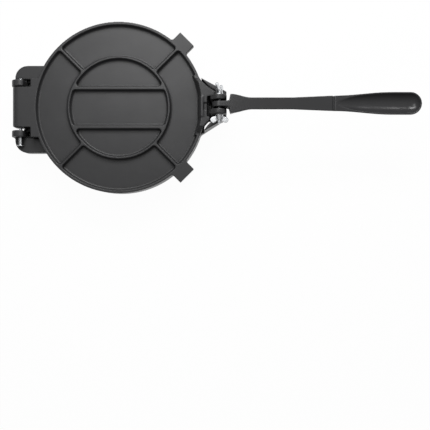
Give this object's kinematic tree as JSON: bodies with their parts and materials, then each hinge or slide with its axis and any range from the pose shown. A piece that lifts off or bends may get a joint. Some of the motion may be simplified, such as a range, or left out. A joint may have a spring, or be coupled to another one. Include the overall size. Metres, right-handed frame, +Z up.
{
  "type": "tortilla press",
  "caption": "Cast-iron press with two round ribbed plates hinged at one side, closed by a long folding lever that pivots in a fork with winged fasteners.",
  "frame": {"origin": "on the table, under the middle of the whole length and width, with the lid closed and the lever swung out", "axes": "+X along the press from the lid's hinge to the lever's tip, +Z up"},
  "size_m": [0.479, 0.2032, 0.0646],
  "materials": {
    "base_iron": "seasoned black cast iron, satin, fine sand-cast grain",
    "lid_iron": "seasoned black cast iron, satin, fine sand-cast grain",
    "lever_iron": "seasoned black cast iron, satin bar with a smooth glossy hollow in the grip",
    "zinc_steel": "bright zinc-plated steel"
  },
  "bodies": {
    "base": {"base": "base_iron", "hinge_pin": "zinc_steel", "hinge_clip": "zinc_steel", "wing_screw": "zinc_steel", "pivot_washers": "zinc_steel"},
    "lid": {"lid": "lid_iron"},
    "lever": {"lever": "lever_iron"},
    "wing_nut": {"wing_nut": "zinc_steel"}
  },
  "joints": [
    {"name": "lid_hinge", "type": "hinge", "parent": "base", "child": "lid", "pos_m": [-0.22965, 0, 0.029], "axis": [0, -1, 0], "range_deg": [0, 110]},
    {"name": "lever_pivot", "type": "hinge", "parent": "base", "child": "lever", "pos_m": [0.00835, 0, 0.0545], "axis": [0, -1, 0], "range_deg": [0, 180]},
    {"name": "wing_nut_turn", "type": "hinge", "parent": "base", "child": "wing_nut", "pos_m": [0.00835, -0.0123, 0.0545], "axis": [0, -1, 0], "continuous": true}
  ]
}
